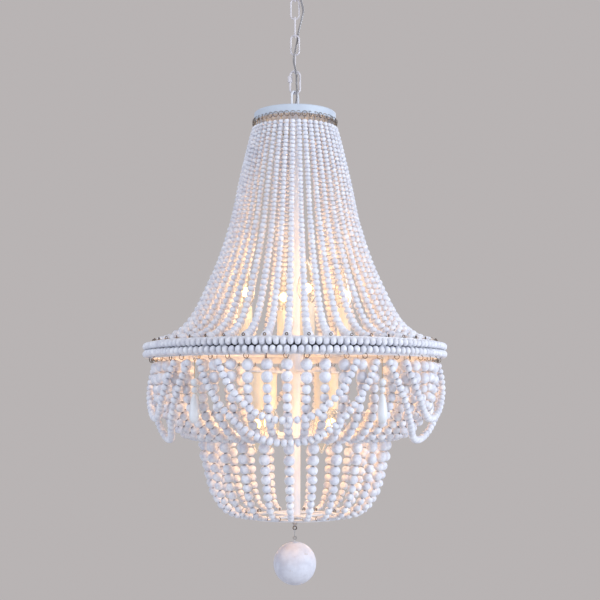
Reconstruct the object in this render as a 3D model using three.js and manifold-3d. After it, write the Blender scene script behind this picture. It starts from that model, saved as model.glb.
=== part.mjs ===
// A beaded chandelier that hangs on a chain from a ceiling fitting.
// Millimetres, +Z up. The origin is the middle of the ceiling face, so the lamp hangs below z = 0.
import * as THREE from 'three';
import { mergeVertices } from 'three/addons/utils/BufferGeometryUtils.js';
import Module from 'manifold-3d';

const wasm = await Module();
wasm.setup();

// Gap between touching pieces, play in a threaded or sliding fit, overrun of a cut, and the distance
// within which corners count as one
const gap = 0.3;
const play = 0.3;
const overrun = 1;
const weldDistance = 1e-4;

// Ceiling fitting
const strap = {
  length: 96, width: 20, thickness: 2.5, nippleRadius: 5, nippleBore: 2.5, nippleLength: 20,
  screwHole: 2.4, screwEdge: 10,
};
const canopy = { radius: 60, depth: 25, wall: 1.2, flatRadius: 19 };
const neck = { radius: 13.5, length: 15 };
const collar = { radius: 20, height: 8 };
const ceilingLoop = { wire: 3.5, width: 26, drop: 32 };

// Chain, quick link and the loop that the body hangs by
const chain = { wire: 2.8, length: 37, width: 16.8, seam: 0.4, count: 5 };
const quick = { wire: 3.5, length: 42, width: 20, mouth: 5, mouthRise: 5.8 };
const sleeveNut = { radius: 4, length: 11 };
const bodyLoop = { wire: 3.2, width: 22, drop: 34.6, turn: 55, flange: 12, flangeThickness: 3.5 };
const stem = { radius: 5, bore: 2.3, length: 15 };
const cable = { radius: 1.7, sides: 8, steps: 46 };

// Body: plate, column, rings. A drop is measured to a ring's middle from the plate's top or from the
// middle of the ring above.
const plate = { radius: 68.6, height: 12, wall: 1.5 };
const column = { radius: 9 };
const ring = { radius: 244, drop: 399.75, bandHeight: 27, bandThickness: 2.4, turn: 69.7, segments: 48 };
const beadRow = { radius: 5.95, sides: 6 };
const middle = { radius: 146, drop: 141.25, height: 8, thickness: 3, turn: -10.3, segments: 36 };
const bottom = { radius: 80, drop: 128, thickness: 3, rim: 10, turn: 34.7, segments: 28 };
const spoke = { width: 12, thickness: 3, hubRadius: 13 };

// Lights: four stand up on the upper arms, four hang from the lower arms
const lamps = {
  perTier: 4, upperRadius: 84, lowerRadius: 75, upperTurn: 13.7, lowerTurn: 34.7,
  armWidth: 12, armThickness: 3, padRadius: 13, upperRise: 11.5, lowerFall: 33.75,
};
const candle = { radius: 11.5, length: 60, socket: 7.3, socketDepth: 28 };
const bulb = { radius: 16, glass: 70, baseRadius: 6.9, baseLength: 26, tip: 1.5 };

// Strings of beads. A string is a round tube as thick as its beads, and a hook wire joins each group.
const hook = { radius: 0.8, sides: 4 };
const veil = { count: 45, groups: 3, turn: -2.7, small: 4.1, mid: 5, large: 8 };
const skirt = { count: 50, groups: 5, turn: -2.8, large: 9, mid: 7, small: 6, tuck: 12 };
const basket = { count: 25, turn: -3.3, large: 9, mid: 7, small: 4.3 };
const swag = { bead: 6, turn: -2.8 };
const swagHang = { start: 5.2, startOut: 0.6, out: 5, stations: 12 };
// A swag reaches from its sector's middle over a share of half the sector to either side. How deep and how
// far in it hangs is a share of the skirt's height and of its draw-in.
const swagReach = { longShare: 0.9333, shortShare: 0.7111 };
const swagFall = { longShare: 0.983, shortShare: 0.715 };
const swagDraw = { longShare: 0.4098, shortShare: 0.1594 };

// Teardrops, and the ball on its hook
const drop = { length: 44, radius: 8, bead: 6.25, smallBead: 5, wire: 0.7, eye: 2.3, fall: 35.4, sides: 8 };
const staple = { half: 3, fall: 4.7 };
const finial = { radius: 11, height: 4, taper: 10, tip: 2, stud: 14, eyeWire: 0.75, eyeRadius: 3 };
const ballHook = { wire: 1.5, length: 15.6, width: 7 };
const ball = { radius: 34.8, stem: 3.4, eyeWire: 0.75, eyeRadius: 2.6 };

const rad = THREE.MathUtils.degToRad;
// Angles turn around the column from the front (-Y) towards the right (+X).
const around = (radius, degrees, z) =>
  new THREE.Vector3(radius * Math.sin(rad(degrees)), -radius * Math.cos(rad(degrees)), z);

// Heights, worked out downwards from the ceiling
const nippleEndZ = -strap.thickness - strap.nippleLength;
const collarTopZ = -canopy.depth - gap;
const neckTopZ = nippleEndZ + 2 * strap.thickness;
const neckBottomZ = neckTopZ - neck.length - gap;
const ceilingLoopZ = neckBottomZ - ceilingLoop.drop;
const hangGap = (upperWire, lowerWire) => (upperWire + lowerWire) / 2 + gap;
const linkTopZ = [ceilingLoopZ + hangGap(ceilingLoop.wire, chain.wire)];
const linkDrop = chain.length - chain.wire;
for (let i = 1; i < chain.count; i++) {
  linkTopZ.push(linkTopZ[i - 1] - linkDrop + hangGap(chain.wire, chain.wire));
}
const quickTopZ = linkTopZ[chain.count - 1] - linkDrop + hangGap(chain.wire, quick.wire);
const quickDrop = quick.length - quick.wire;
const bodyLoopTopZ = quickTopZ - quickDrop + hangGap(quick.wire, bodyLoop.wire);
const flangeTopZ = bodyLoopTopZ - bodyLoop.drop;
const plateTopZ = flangeTopZ - bodyLoop.flangeThickness - gap;
const plateBottomZ = plateTopZ - plate.height;
const ringZ = plateTopZ - ring.drop;
const middleZ = ringZ - middle.drop;
const bottomZ = middleZ - bottom.drop;

// Radii of the band and the places that the strings hook on to
const bandOuter = ring.radius - beadRow.radius - gap;
const bandInner = bandOuter - ring.bandThickness;
const bandTopZ = ringZ + ring.bandHeight / 2;
const bandBottomZ = ringZ - ring.bandHeight / 2;
const seat = hook.radius + gap;
const boreRadius = column.radius + play;

function closedMesh(geometry) {
  const bare = geometry.index ? geometry.clone() : geometry;
  bare.deleteAttribute('normal');
  bare.deleteAttribute('uv');
  return mergeVertices(bare, weldDistance);
}

function solid(geometry) {
  const merged = closedMesh(geometry);
  return new wasm.Manifold(new wasm.Mesh({
    numProp: 3,
    vertProperties: new Float32Array(merged.attributes.position.array),
    triVerts: new Uint32Array(merged.index.array),
  }));
}

function fromSolid(manifold) {
  const mesh = manifold.getMesh();
  const geometry = new THREE.BufferGeometry();
  geometry.setAttribute('position', new THREE.BufferAttribute(mesh.vertProperties, 3));
  geometry.setIndex(new THREE.BufferAttribute(mesh.triVerts, 1));
  geometry.computeVertexNormals();
  return geometry;
}

const joined = (...geometries) => fromSolid(geometries.map(solid).reduce((a, b) => a.add(b)));
const cut = (geometry, ...tools) =>
  fromSolid(tools.map(solid).reduce((a, b) => a.subtract(b), solid(geometry)));

// A turned solid. The profile lists [radius, z] from the axis back to the axis, either way round.
function turned(profile, segments) {
  const points = profile.map(([radius, z]) => new THREE.Vector2(radius, z));
  const facesOut = THREE.ShapeUtils.area(points) > 0;
  return new THREE.LatheGeometry(facesOut ? points : points.reverse(), segments).rotateX(Math.PI / 2);
}

// A turned ring, whose profile closes on itself
const turnedRing = (profile, segments) => turned([...profile, profile[0]], segments);

function washer(outer, inner, lowZ, highZ, segments) {
  return turnedRing([[inner, lowZ], [outer, lowZ], [outer, highZ], [inner, highZ]], segments);
}

const rod = (radius, length, segments) =>
  new THREE.CylinderGeometry(radius, radius, length, segments).rotateX(Math.PI / 2);

function circle(radius, sides, Kind = THREE.Shape) {
  const outline = new Kind();
  for (let i = 0; i < sides; i++) {
    const angle = (2 * Math.PI * i) / sides;
    const place = [radius * Math.cos(angle), radius * Math.sin(angle)];
    if (i === 0) outline.moveTo(...place);
    else outline.lineTo(...place);
  }
  outline.closePath();
  return outline;
}

const tube = (path, radius, sides, steps) =>
  new THREE.ExtrudeGeometry(circle(radius, sides), { steps, extrudePath: path, bevelEnabled: false });

// An oval of wire in the XZ plane with its top wire's middle at the origin. Its left leg is open over the
// length `seam`, whose middle lies `seamRise` above the leg's middle.
class OvalWire extends THREE.Curve {
  constructor(dropLength, halfWidth, seam, seamRise = 0) {
    super();
    Object.assign(this, { halfWidth, straight: dropLength - 2 * halfWidth, seam, seamRise });
  }

  getPoint(t) {
    const { halfWidth, straight, seam, seamRise } = this;
    const bend = Math.PI * halfWidth;
    const along = seamRise + seam / 2 + t * (2 * straight + 2 * bend - seam);
    const legZ = -halfWidth - straight / 2;
    if (along < straight / 2) return new THREE.Vector3(-halfWidth, 0, legZ + along);
    if (along < straight / 2 + bend) {
      const angle = (along - straight / 2) / halfWidth;
      return new THREE.Vector3(-halfWidth * Math.cos(angle), 0, halfWidth * (Math.sin(angle) - 1));
    }
    if (along < 1.5 * straight + bend) {
      return new THREE.Vector3(halfWidth, 0, -halfWidth - (along - straight / 2 - bend));
    }
    if (along < 1.5 * straight + 2 * bend) {
      const angle = (along - 1.5 * straight - bend) / halfWidth;
      return new THREE.Vector3(
        halfWidth * Math.cos(angle), 0, -straight - halfWidth * (1 + Math.sin(angle)),
      );
    }
    return new THREE.Vector3(-halfWidth, 0, -halfWidth - straight + (along - 1.5 * straight - 2 * bend));
  }
}

// A hairpin of wire in the XZ plane: a half-round bend at the origin and two legs that run down or up from it
class Hairpin extends THREE.Curve {
  constructor(halfWidth, leg, upward) {
    super();
    Object.assign(this, { halfWidth, leg, upward });
  }

  getPoint(t) {
    const { halfWidth, leg, upward } = this;
    const side = upward ? 1 : -1;
    const bend = Math.PI * halfWidth;
    const along = t * (2 * leg + bend);
    if (along < leg) return new THREE.Vector3(-halfWidth, 0, side * (along - leg - halfWidth));
    if (along < leg + bend) {
      const angle = (along - leg) / halfWidth;
      return new THREE.Vector3(-halfWidth * Math.cos(angle), 0, side * halfWidth * (Math.sin(angle) - 1));
    }
    return new THREE.Vector3(halfWidth, 0, side * (leg + bend - along - halfWidth));
  }
}

// A string of beads as a tube whose radius changes from station to station
function stringTube(points, radii, sides) {
  const positions = [];
  points.forEach((point, i) => {
    const before = points[Math.max(i - 1, 0)];
    const after = points[Math.min(i + 1, points.length - 1)];
    const along = after.clone().sub(before).normalize();
    const outward = new THREE.Vector3(point.x, point.y, 0).normalize();
    const side = along.clone().cross(outward).normalize();
    const up = side.clone().cross(along);
    for (let k = 0; k < sides; k++) {
      const angle = (2 * Math.PI * k) / sides;
      const offset = up.clone().multiplyScalar(radii[i] * Math.cos(angle));
      offset.addScaledVector(side, radii[i] * Math.sin(angle));
      positions.push(...point.clone().add(offset).toArray());
    }
  });
  const index = [];
  for (let i = 0; i + 1 < points.length; i++) {
    for (let k = 0; k < sides; k++) {
      const a = i * sides + k;
      const b = i * sides + ((k + 1) % sides);
      index.push(a, b, b + sides, a, b + sides, a + sides);
    }
  }
  const last = (points.length - 1) * sides;
  for (let k = 1; k + 1 < sides; k++) {
    index.push(0, k + 1, k, last, last + k, last + k + 1);
  }
  const geometry = new THREE.BufferGeometry();
  geometry.setAttribute('position', new THREE.BufferAttribute(new Float32Array(positions), 3));
  geometry.setIndex(index);
  return geometry;
}

const model = new THREE.Group();

function add(name, geometry, material, parent = model) {
  const mesh = new THREE.Mesh(geometry, new THREE.MeshStandardMaterial(material));
  mesh.name = name;
  parent.add(mesh);
  return mesh;
}

const paintedMetal = { color: 0xdfe2ea, roughness: 0.5, metalness: 0.1 };
const chainWhite = { color: 0xf2f2f4, roughness: 0.3, metalness: 0.1 };
const brass = { color: 0xb09468, roughness: 0.35, metalness: 0.9 };
const beadWhite = { color: 0xe3e6ef, roughness: 0.75, metalness: 0 };
const cableGrey = { color: 0xb9b9bd, roughness: 0.3, metalness: 0 };
const candleCream = { color: 0xf3ead9, roughness: 0.55, metalness: 0 };
const glassWarm = { color: 0xffe2b5, roughness: 0.2, metalness: 0 };

// Ceiling fitting: a strap with a hollow nipple, the dome, and a loop whose neck screws on to the nipple
{
  const bar = new THREE.BoxGeometry(strap.length, strap.width, strap.thickness)
    .translate(0, 0, -strap.thickness / 2);
  const nipple = rod(strap.nippleRadius, strap.nippleLength + strap.thickness, 16)
    .translate(0, 0, nippleEndZ / 2);
  const bore = rod(strap.nippleBore, 2 * strap.nippleLength, 12).translate(0, 0, nippleEndZ / 2);
  const screwHoles = [-1, 1].map((side) =>
    rod(strap.screwHole, strap.thickness + 2 * overrun, 12)
      .translate(side * (strap.length / 2 - strap.screwEdge), 0, -strap.thickness / 2));
  add('mounting_strap', cut(joined(bar, nipple), bore, ...screwHoles), paintedMetal);

  const outerDome = [];
  const innerDome = [];
  const rimSteps = 5;
  for (let i = 0; i <= rimSteps; i++) {
    const angle = (Math.PI / 2) * (i / rimSteps);
    const flatInner = canopy.flatRadius;
    const span = canopy.radius - flatInner;
    outerDome.push([flatInner + span * Math.cos(angle), -canopy.depth * Math.sin(angle)]);
    innerDome.push([
      flatInner + (span - canopy.wall) * Math.cos(angle), -(canopy.depth - canopy.wall) * Math.sin(angle),
    ]);
  }
  const hole = neck.radius + play;
  const profile = [
    ...outerDome, [hole, -canopy.depth], [hole, -canopy.depth + canopy.wall], ...innerDome.reverse(),
  ];
  add('canopy', turnedRing(profile, 24), paintedMetal);
  add('canopy_collar', washer(collar.radius, hole, collarTopZ - collar.height, collarTopZ, 24), paintedMetal);

  const body = turnedRing([
    [cable.radius + 2 * gap, neckBottomZ], [neck.radius, neckBottomZ], [neck.radius, neckTopZ],
    [strap.nippleRadius + play, neckTopZ], [strap.nippleRadius + play, nippleEndZ - gap],
    [cable.radius + 2 * gap, nippleEndZ - gap],
  ], 24);
  const half = (ceilingLoop.width - ceilingLoop.wire) / 2;
  const wire = tube(new Hairpin(half, ceilingLoop.drop - half + overrun, false), ceilingLoop.wire / 2, 6, 14)
    .translate(0, 0, ceilingLoopZ);
  add('canopy_loop', joined(body, wire), paintedMetal);
}

// Chain: every other link is turned a quarter, the first one edge-on
const linkWire = tube(
  new OvalWire(linkDrop, (chain.width - chain.wire) / 2, chain.seam), chain.wire / 2, 6, 16,
);
linkTopZ.forEach((z, i) => {
  const link = add(`chain_link_${i + 1}`, linkWire.clone(), chainWhite);
  link.position.z = z;
  link.rotation.z = i % 2 === 0 ? Math.PI / 2 : 0;
});

// Quick link: its mouth is high in the left leg, and a threaded sleeve nut closes it. The nut can run down
// the leg until the mouth is open.
{
  const half = (quick.width - quick.wire) / 2;
  const wire = tube(new OvalWire(quickDrop, half, quick.mouth, quick.mouthRise), quick.wire / 2, 6, 28);
  add('quick_link', wire, chainWhite).position.z = quickTopZ;
  const nut = washer(sleeveNut.radius, quick.wire / 2 + play, -sleeveNut.length, 0, 6);
  add('quick_link_sleeve', nut, brass).position.set(-half, 0, quickTopZ - half - gap);
}

// The body's loop: a wire hairpin on a flange, whose hollow stem holds the plate on the column
{
  const half = (bodyLoop.width - bodyLoop.wire) / 2;
  const wire = tube(new Hairpin(half, bodyLoop.drop - half + overrun, true), bodyLoop.wire / 2, 6, 14);
  const flange = rod(bodyLoop.flange, bodyLoop.flangeThickness, 24)
    .translate(0, 0, -bodyLoop.drop - bodyLoop.flangeThickness / 2);
  const stemLength = stem.length + bodyLoop.flangeThickness;
  const post = rod(stem.radius, stemLength, 16).translate(0, 0, -bodyLoop.drop - stemLength / 2);
  const bore = rod(stem.bore, stemLength + 2 * overrun, 12)
    .translate(0, 0, -bodyLoop.drop - stemLength / 2);
  const loop = add('fixture_loop', cut(joined(wire, flange, post), bore), paintedMetal);
  loop.position.z = bodyLoopTopZ;
  loop.rotation.z = rad(bodyLoop.turn);
}

// Power cable: from the nipple, woven through the chain, into the body's stem. Its points are [x, y, z].
{
  const route = [
    [0, 0, -3], [0, 0, -28], [0, 0, -40], [4.5, 0, -50], [5.5, -3, -59], [7.5, -6.3, -67], [8.7, -6.5, -80],
    [10, -5, -94], [13.8, -3, -111.7], [12, -2, -124], [6.1, 0, -148.3], [4.4, 4.5, -160], [3.4, 3.2, -166],
    [2.2, -0.5, -172], [1.2, -5.5, -178.5], [0.3, -9.5, -185.5], [-1.6, -11, -195], [-2, -11, -204],
    [0.5, -10.4, -215], [2.4, -8.4, -224], [2.6, -4.6, -231.5], [2.6, -1.4, -240], [3.2, -4.4, -249],
    [3.4, -4.4, -258], [2.6, -2.2, -268], [0.6, -0.4, -277], [0, 0, -284], [0, 0, -300],
  ];
  const path = new THREE.CatmullRomCurve3(route.map((p) => new THREE.Vector3(...p)), false, 'centripetal');
  add('power_cable', tube(path, cable.radius, cable.sides, cable.steps), cableGrey);
}

// Top plate, an upside-down pan, and the column below it
{
  const inner = stem.radius + play;
  const profile = [
    [inner, plateTopZ - plate.wall], [plate.radius - plate.wall, plateTopZ - plate.wall],
    [plate.radius - plate.wall, plateBottomZ], [plate.radius, plateBottomZ], [plate.radius, plateTopZ],
    [inner, plateTopZ],
  ];
  add('top_plate', turnedRing(profile, 32), paintedMetal);
  const columnTopZ = plateTopZ - plate.wall - gap;
  const columnBottomZ = bottomZ - bottom.thickness / 2;
  add('centre_column', washer(column.radius, inner, columnBottomZ, columnTopZ, 20), paintedMetal);
}

// A level plate with a hub, a rim and four spokes, made as one outline with four windows
function spokedPlate(outer, rimWidth, turnDegrees, thickness, segments) {
  const outline = circle(outer, segments);
  outline.holes.push(circle(boreRadius, 20, THREE.Path));
  const inner = outer - rimWidth;
  const half = spoke.width / 2;
  const windowSteps = 6;
  for (let q = 0; q < 4; q++) {
    const windowPath = new THREE.Path();
    const turn = rad(turnDegrees) + (q * Math.PI) / 2;
    const point = (radius, angle) => [radius * Math.cos(turn + angle), radius * Math.sin(turn + angle)];
    const outerStart = Math.asin(half / inner);
    const hubStart = Math.asin(half / spoke.hubRadius);
    for (let i = 0; i <= windowSteps; i++) {
      const angle = outerStart + ((Math.PI / 2 - 2 * outerStart) * i) / windowSteps;
      if (i === 0) windowPath.moveTo(...point(inner, angle));
      else windowPath.lineTo(...point(inner, angle));
    }
    windowPath.lineTo(...point(spoke.hubRadius, Math.PI / 2 - hubStart));
    windowPath.lineTo(...point(spoke.hubRadius, hubStart));
    windowPath.closePath();
    outline.holes.push(windowPath);
  }
  return new THREE.ExtrudeGeometry(outline, { depth: thickness, bevelEnabled: false })
    .translate(0, 0, -thickness / 2);
}

// Degrees from the front turned into degrees from +X for the spoked plates
const plateTurn = (degrees) => degrees - 90;
const stationTurn = (n) => swag.turn + (360 / skirt.groups) * (n + 0.5);

// Main ring: a metal band on four spokes, with five staples below it that the teardrops hang on
{
  const band = washer(bandOuter, bandInner, bandBottomZ, bandTopZ, ring.segments);
  const spokes = spokedPlate(bandInner + ring.bandThickness / 2, spoke.width, plateTurn(ring.turn),
    spoke.thickness, ring.segments).translate(0, 0, ringZ);
  const stapleLeg = staple.fall + seat;
  const staples = [];
  for (let n = 0; n < skirt.groups; n++) {
    const wire = tube(
      new THREE.CatmullRomCurve3([
        new THREE.Vector3(-staple.half, 0, stapleLeg), new THREE.Vector3(-staple.half, 0, drop.wire),
        new THREE.Vector3(-staple.half + drop.wire, 0, 0), new THREE.Vector3(staple.half - drop.wire, 0, 0),
        new THREE.Vector3(staple.half, 0, drop.wire), new THREE.Vector3(staple.half, 0, stapleLeg),
      ], false, 'centripetal'), drop.wire, 4, 7,
    );
    const place = around(bandOuter - drop.wire, stationTurn(n), bandBottomZ - staple.fall);
    staples.push(wire.rotateZ(rad(stationTurn(n))).translate(...place.toArray()));
  }
  add('main_ring', joined(band, spokes, ...staples), paintedMetal);
}

// The ring's two rows of beads
for (const [name, side] of [['ring_beads_upper', 1], ['ring_beads_lower', -1]]) {
  const row = new THREE.TorusGeometry(ring.radius, beadRow.radius, beadRow.sides, ring.segments);
  add(name, closedMesh(row), beadWhite).position.z = ringZ + side * (beadRow.radius + gap / 2);
}

// Middle ring and bottom plate
{
  const rim = washer(middle.radius, middle.radius - middle.thickness, -middle.height / 2, middle.height / 2,
    middle.segments);
  const spokes = spokedPlate(middle.radius - middle.thickness / 2, spoke.width, plateTurn(middle.turn),
    spoke.thickness, middle.segments);
  add('middle_ring', joined(rim, spokes), paintedMetal).position.z = middleZ;
  const floor = spokedPlate(bottom.radius, bottom.rim, plateTurn(bottom.turn), bottom.thickness,
    bottom.segments);
  add('bottom_plate', floor, paintedMetal).position.z = bottomZ;
}

// Light brackets: a hub on the column with four arms, each with a round pad
function bracket(armRadius, turnDegrees, armZ, hubTopZ, hubBottomZ) {
  const parts = [rod(spoke.hubRadius, hubTopZ - hubBottomZ, 16).translate(0, 0, (hubTopZ + hubBottomZ) / 2)];
  for (let q = 0; q < lamps.perTier; q++) {
    const degrees = turnDegrees + (360 / lamps.perTier) * q;
    const arm = new THREE.BoxGeometry(lamps.armWidth, armRadius, lamps.armThickness)
      .translate(0, -armRadius / 2, 0).rotateZ(rad(degrees)).translate(0, 0, armZ);
    const pad = rod(lamps.padRadius, lamps.armThickness, 12)
      .translate(...around(armRadius, degrees, armZ).toArray());
    parts.push(arm, pad);
  }
  const height = hubTopZ - hubBottomZ + 2 * overrun;
  const bore = rod(boreRadius, height, 16).translate(0, 0, (hubTopZ + hubBottomZ) / 2);
  return cut(joined(...parts), bore);
}

const halfSpoke = spoke.thickness / 2;
const upperArmZ = ringZ + lamps.upperRise;
const lowerArmZ = ringZ - lamps.lowerFall;
add('upper_light_bracket', bracket(lamps.upperRadius, lamps.upperTurn, upperArmZ,
  upperArmZ + lamps.armThickness / 2, ringZ + halfSpoke + gap), paintedMetal);
add('lower_light_bracket', bracket(lamps.lowerRadius, lamps.lowerTurn, lowerArmZ,
  ringZ - halfSpoke - gap, lowerArmZ - lamps.armThickness / 2), paintedMetal);

// Candle sleeves with a socket, and bulbs. They are modelled standing up, and the lower tier is turned over.
const sleeveProfile = [
  [0, 0], [candle.radius, 0], [candle.radius, candle.length], [candle.socket, candle.length],
  [candle.socket, candle.length - candle.socketDepth], [0, candle.length - candle.socketDepth],
];
const glassShares = [[0.5, 0], [0.9, 0.17], [1, 0.34], [0.9, 0.56], [0.58, 0.79]];
const bulbProfile = [
  [0, -bulb.baseLength], [bulb.baseRadius, -bulb.baseLength], [bulb.baseRadius, gap],
  ...glassShares.map(([r, z]) => [r * bulb.radius, gap + z * bulb.glass]),
  [bulb.tip, gap + bulb.glass], [0, gap + bulb.glass],
];
for (const [tier, radius, turn, side, armZ] of [
  ['upper', lamps.upperRadius, lamps.upperTurn, 1, upperArmZ],
  ['lower', lamps.lowerRadius, lamps.lowerTurn, -1, lowerArmZ],
]) {
  for (let q = 0; q < lamps.perTier; q++) {
    const lamp = new THREE.Group();
    const seatZ = armZ + side * (lamps.armThickness / 2 + gap);
    lamp.position.copy(around(radius, turn + (360 / lamps.perTier) * q, seatZ));
    lamp.rotation.x = side > 0 ? 0 : Math.PI;
    add(`candle_sleeve_${tier}_${q + 1}`, turned(sleeveProfile, 10), candleCream, lamp);
    add(`bulb_${tier}_${q + 1}`, turned(bulbProfile, 8), glassWarm, lamp).position.z = candle.length;
    model.add(lamp);
  }
}

// The three layers of strings follow profiles from an upper wire to a lower wire. Shares are of the way
// out (or in) and down between the two, and each station has its bead radius. Each group is strung on
// one hook wire, which runs down one string, along the lower rim, up the next one and along the upper rim.
const veilShares = [
  [0, 0.036], [0.16, 0.338], [0.32, 0.62], [0.5, 0.812], [0.662, 0.934], [0.925, 1.009], [0.975, 0.997],
];
const skirtShares = [
  [0.08, 0.11], [0.082, 0.407], [0.128, 0.551], [0.221, 0.687], [0.35, 0.808], [0.536, 0.944], [0.9, 1.04],
];
const basketShares = [
  [-0.055, 0.072], [-0.041, 0.218], [0.035, 0.365], [0.122, 0.574], [0.272, 0.752], [0.491, 0.909],
  [0.893, 0.976],
];
const tuckStartShare = 0.3;
const mix = (a, b, share) => a + (b - a) * share;

function layerString(degrees, from, to, shares, beadRadii, tuck) {
  const points = shares.map(([outward, fall]) => {
    const inward = tuck * Math.max(0, Math.sin(Math.PI * Math.min(1, fall + tuckStartShare)));
    return around(mix(from.radius, to.radius, outward) - inward, degrees, mix(from.z, to.z, fall));
  });
  return {
    points: [around(from.radius, degrees, from.z), ...points, around(to.radius, degrees, to.z)],
    radii: [hook.radius, ...beadRadii, hook.radius],
  };
}

function strungGroup(angles, from, to, shares, beadRadii, tuckOf = () => 0) {
  const points = [];
  const radii = [];
  angles.forEach((degrees, i) => {
    const string = layerString(degrees, from, to, shares, beadRadii, tuckOf(i));
    points.push(...(i % 2 === 0 ? string.points : string.points.reverse()));
    radii.push(...(i % 2 === 0 ? string.radii : string.radii.reverse()));
  });
  return stringTube(points, radii, hook.sides);
}

const spread = (first, step, count) => Array.from({ length: count }, (_, i) => first + step * i);

const veilTop = { radius: plate.radius - plate.wall / 2, z: plateBottomZ - seat };
const veilBottom = { radius: (bandOuter + bandInner) / 2, z: bandTopZ + seat };
const veilBeads = [
  veil.small, veil.small, veil.mid, veil.mid, mix(veil.mid, veil.large, 0.3), veil.large, hook.radius,
];
for (let g = 0; g < veil.groups; g++) {
  const perGroup = veil.count / veil.groups;
  const step = 360 / veil.count;
  const angles = spread(veil.turn + step * g * perGroup, step, perGroup);
  add(`veil_strands_${g + 1}`, strungGroup(angles, veilTop, veilBottom, veilShares, veilBeads), beadWhite);
}

const skirtTop = { radius: bandInner - hook.radius / 2, z: bandBottomZ - seat };
const skirtBottom = { radius: middle.radius + seat, z: middleZ + spoke.thickness / 2 };
const skirtBeads = [
  skirt.large, skirt.mid, skirt.mid, skirt.mid, skirt.mid, skirt.small, skirt.small,
];
for (let g = 0; g < skirt.groups; g++) {
  const perGroup = skirt.count / skirt.groups;
  const step = 360 / skirt.count;
  const angles = spread(skirt.turn + step * (g * perGroup + 1 - perGroup / 2), step, perGroup);
  const tuckOf = (i) => (i === perGroup - 1 ? skirt.tuck : 0);
  add(`skirt_strands_${g + 1}`, strungGroup(angles, skirtTop, skirtBottom, skirtShares, skirtBeads, tuckOf),
    beadWhite);
}

const basketTop = { radius: middle.radius - middle.thickness / 2, z: middleZ - middle.height / 2 - seat };
const basketBottom = { radius: (bottom.radius + seat) / Math.cos(Math.PI / basket.count), z: bottomZ };
const basketBeads = [
  basket.large, basket.large, mix(basket.mid, basket.large, 0.5), basket.mid,
  mix(basket.small, basket.mid, 0.6), mix(basket.small, basket.mid, 0.25), basket.small,
];
add('basket_strands', strungGroup(
  spread(basket.turn, 360 / basket.count, basket.count), basketTop, basketBottom, basketShares, basketBeads,
), beadWhite);

// Swags: in each sector one wire carries a long string there and a short string back, over the skirt
function swagString(centre, half, depth, inward, wire) {
  const points = spread(-1, 2 / swagHang.stations, swagHang.stations + 1).map((t) => {
    const fall = 1 - Math.abs(t) ** 2.5;
    const out = Math.abs(t) > 0.99 ? swagHang.startOut : swagHang.out;
    const radius = wire.radius + out - inward * fall ** 3;
    return around(radius, centre + half * t, wire.z - swagHang.start - depth * fall);
  });
  const ends = [-1, 1].map((t) => around(wire.radius, centre + half * t, wire.z));
  return [ends[0], ...points, ends[1]];
}

for (let n = 0; n < skirt.groups; n++) {
  const centre = swag.turn + (360 / skirt.groups) * n;
  const wire = { radius: bandOuter + seat, z: bandBottomZ - hook.radius };
  const halfSector = 180 / skirt.groups;
  const height = skirtTop.z - skirtBottom.z;
  const drawIn = skirtTop.radius - skirtBottom.radius;
  const long = swagString(
    centre, swagReach.longShare * halfSector, swagFall.longShare * height, swagDraw.longShare * drawIn, wire,
  );
  const short = swagString(
    centre, swagReach.shortShare * halfSector, swagFall.shortShare * height, swagDraw.shortShare * drawIn, wire,
  );
  const radii = long.map((_, i) => (i === 0 || i === long.length - 1 ? hook.radius : swag.bead));
  const points = [...long, ...short.reverse()];
  add(`swag_${n + 1}`, stringTube(points, [...radii, ...radii], hook.sides), beadWhite);
}

// Teardrops: an eye around the staple, a wire, two beads and the drop, turned in one piece. z is down
// from the staple's bar, which is the axis that the teardrop swings on.
{
  const eyeZ = 2 * drop.wire + gap - drop.eye;
  const arcPoints = (centreZ, radius) => {
    const steps = 4;
    return Array.from({ length: steps - 1 }, (_, i) => {
      const angle = Math.PI / 2 - (Math.PI * (i + 1)) / steps;
      return [radius * Math.cos(angle), centreZ + radius * Math.sin(angle)];
    });
  };
  const beadZ = -drop.fall;
  const smallZ = beadZ - drop.bead - drop.smallBead;
  const tearTopZ = smallZ - drop.smallBead - drop.wire;
  const tearShares = [[0.5, 0.02], [0.76, 0.32], [1, 0.68], [0.84, 0.9], [0.4, 0.99]];
  const profile = [
    [0, eyeZ - drop.eye], [drop.wire, eyeZ - drop.eye], [drop.wire, beadZ + drop.bead],
    ...arcPoints(beadZ, drop.bead), [drop.wire, beadZ - drop.bead],
    ...arcPoints(smallZ, drop.smallBead), [drop.wire, smallZ - drop.smallBead],
    ...tearShares.map(([r, z]) => [r * drop.radius, tearTopZ - z * drop.length]),
    [0, tearTopZ - drop.length],
  ];
  const eye = new THREE.TorusGeometry(drop.eye, drop.wire, 5, 9).rotateY(Math.PI / 2).translate(0, 0, eyeZ);
  const shape = joined(turned(profile, drop.sides), eye);
  for (let n = 0; n < skirt.groups; n++) {
    const mesh = add(`teardrop_${n + 1}`, shape.clone(), beadWhite);
    mesh.position.copy(around(bandOuter - drop.wire, stationTurn(n), bandBottomZ - staple.fall));
    mesh.rotation.z = rad(stationTurn(n));
  }
}

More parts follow.
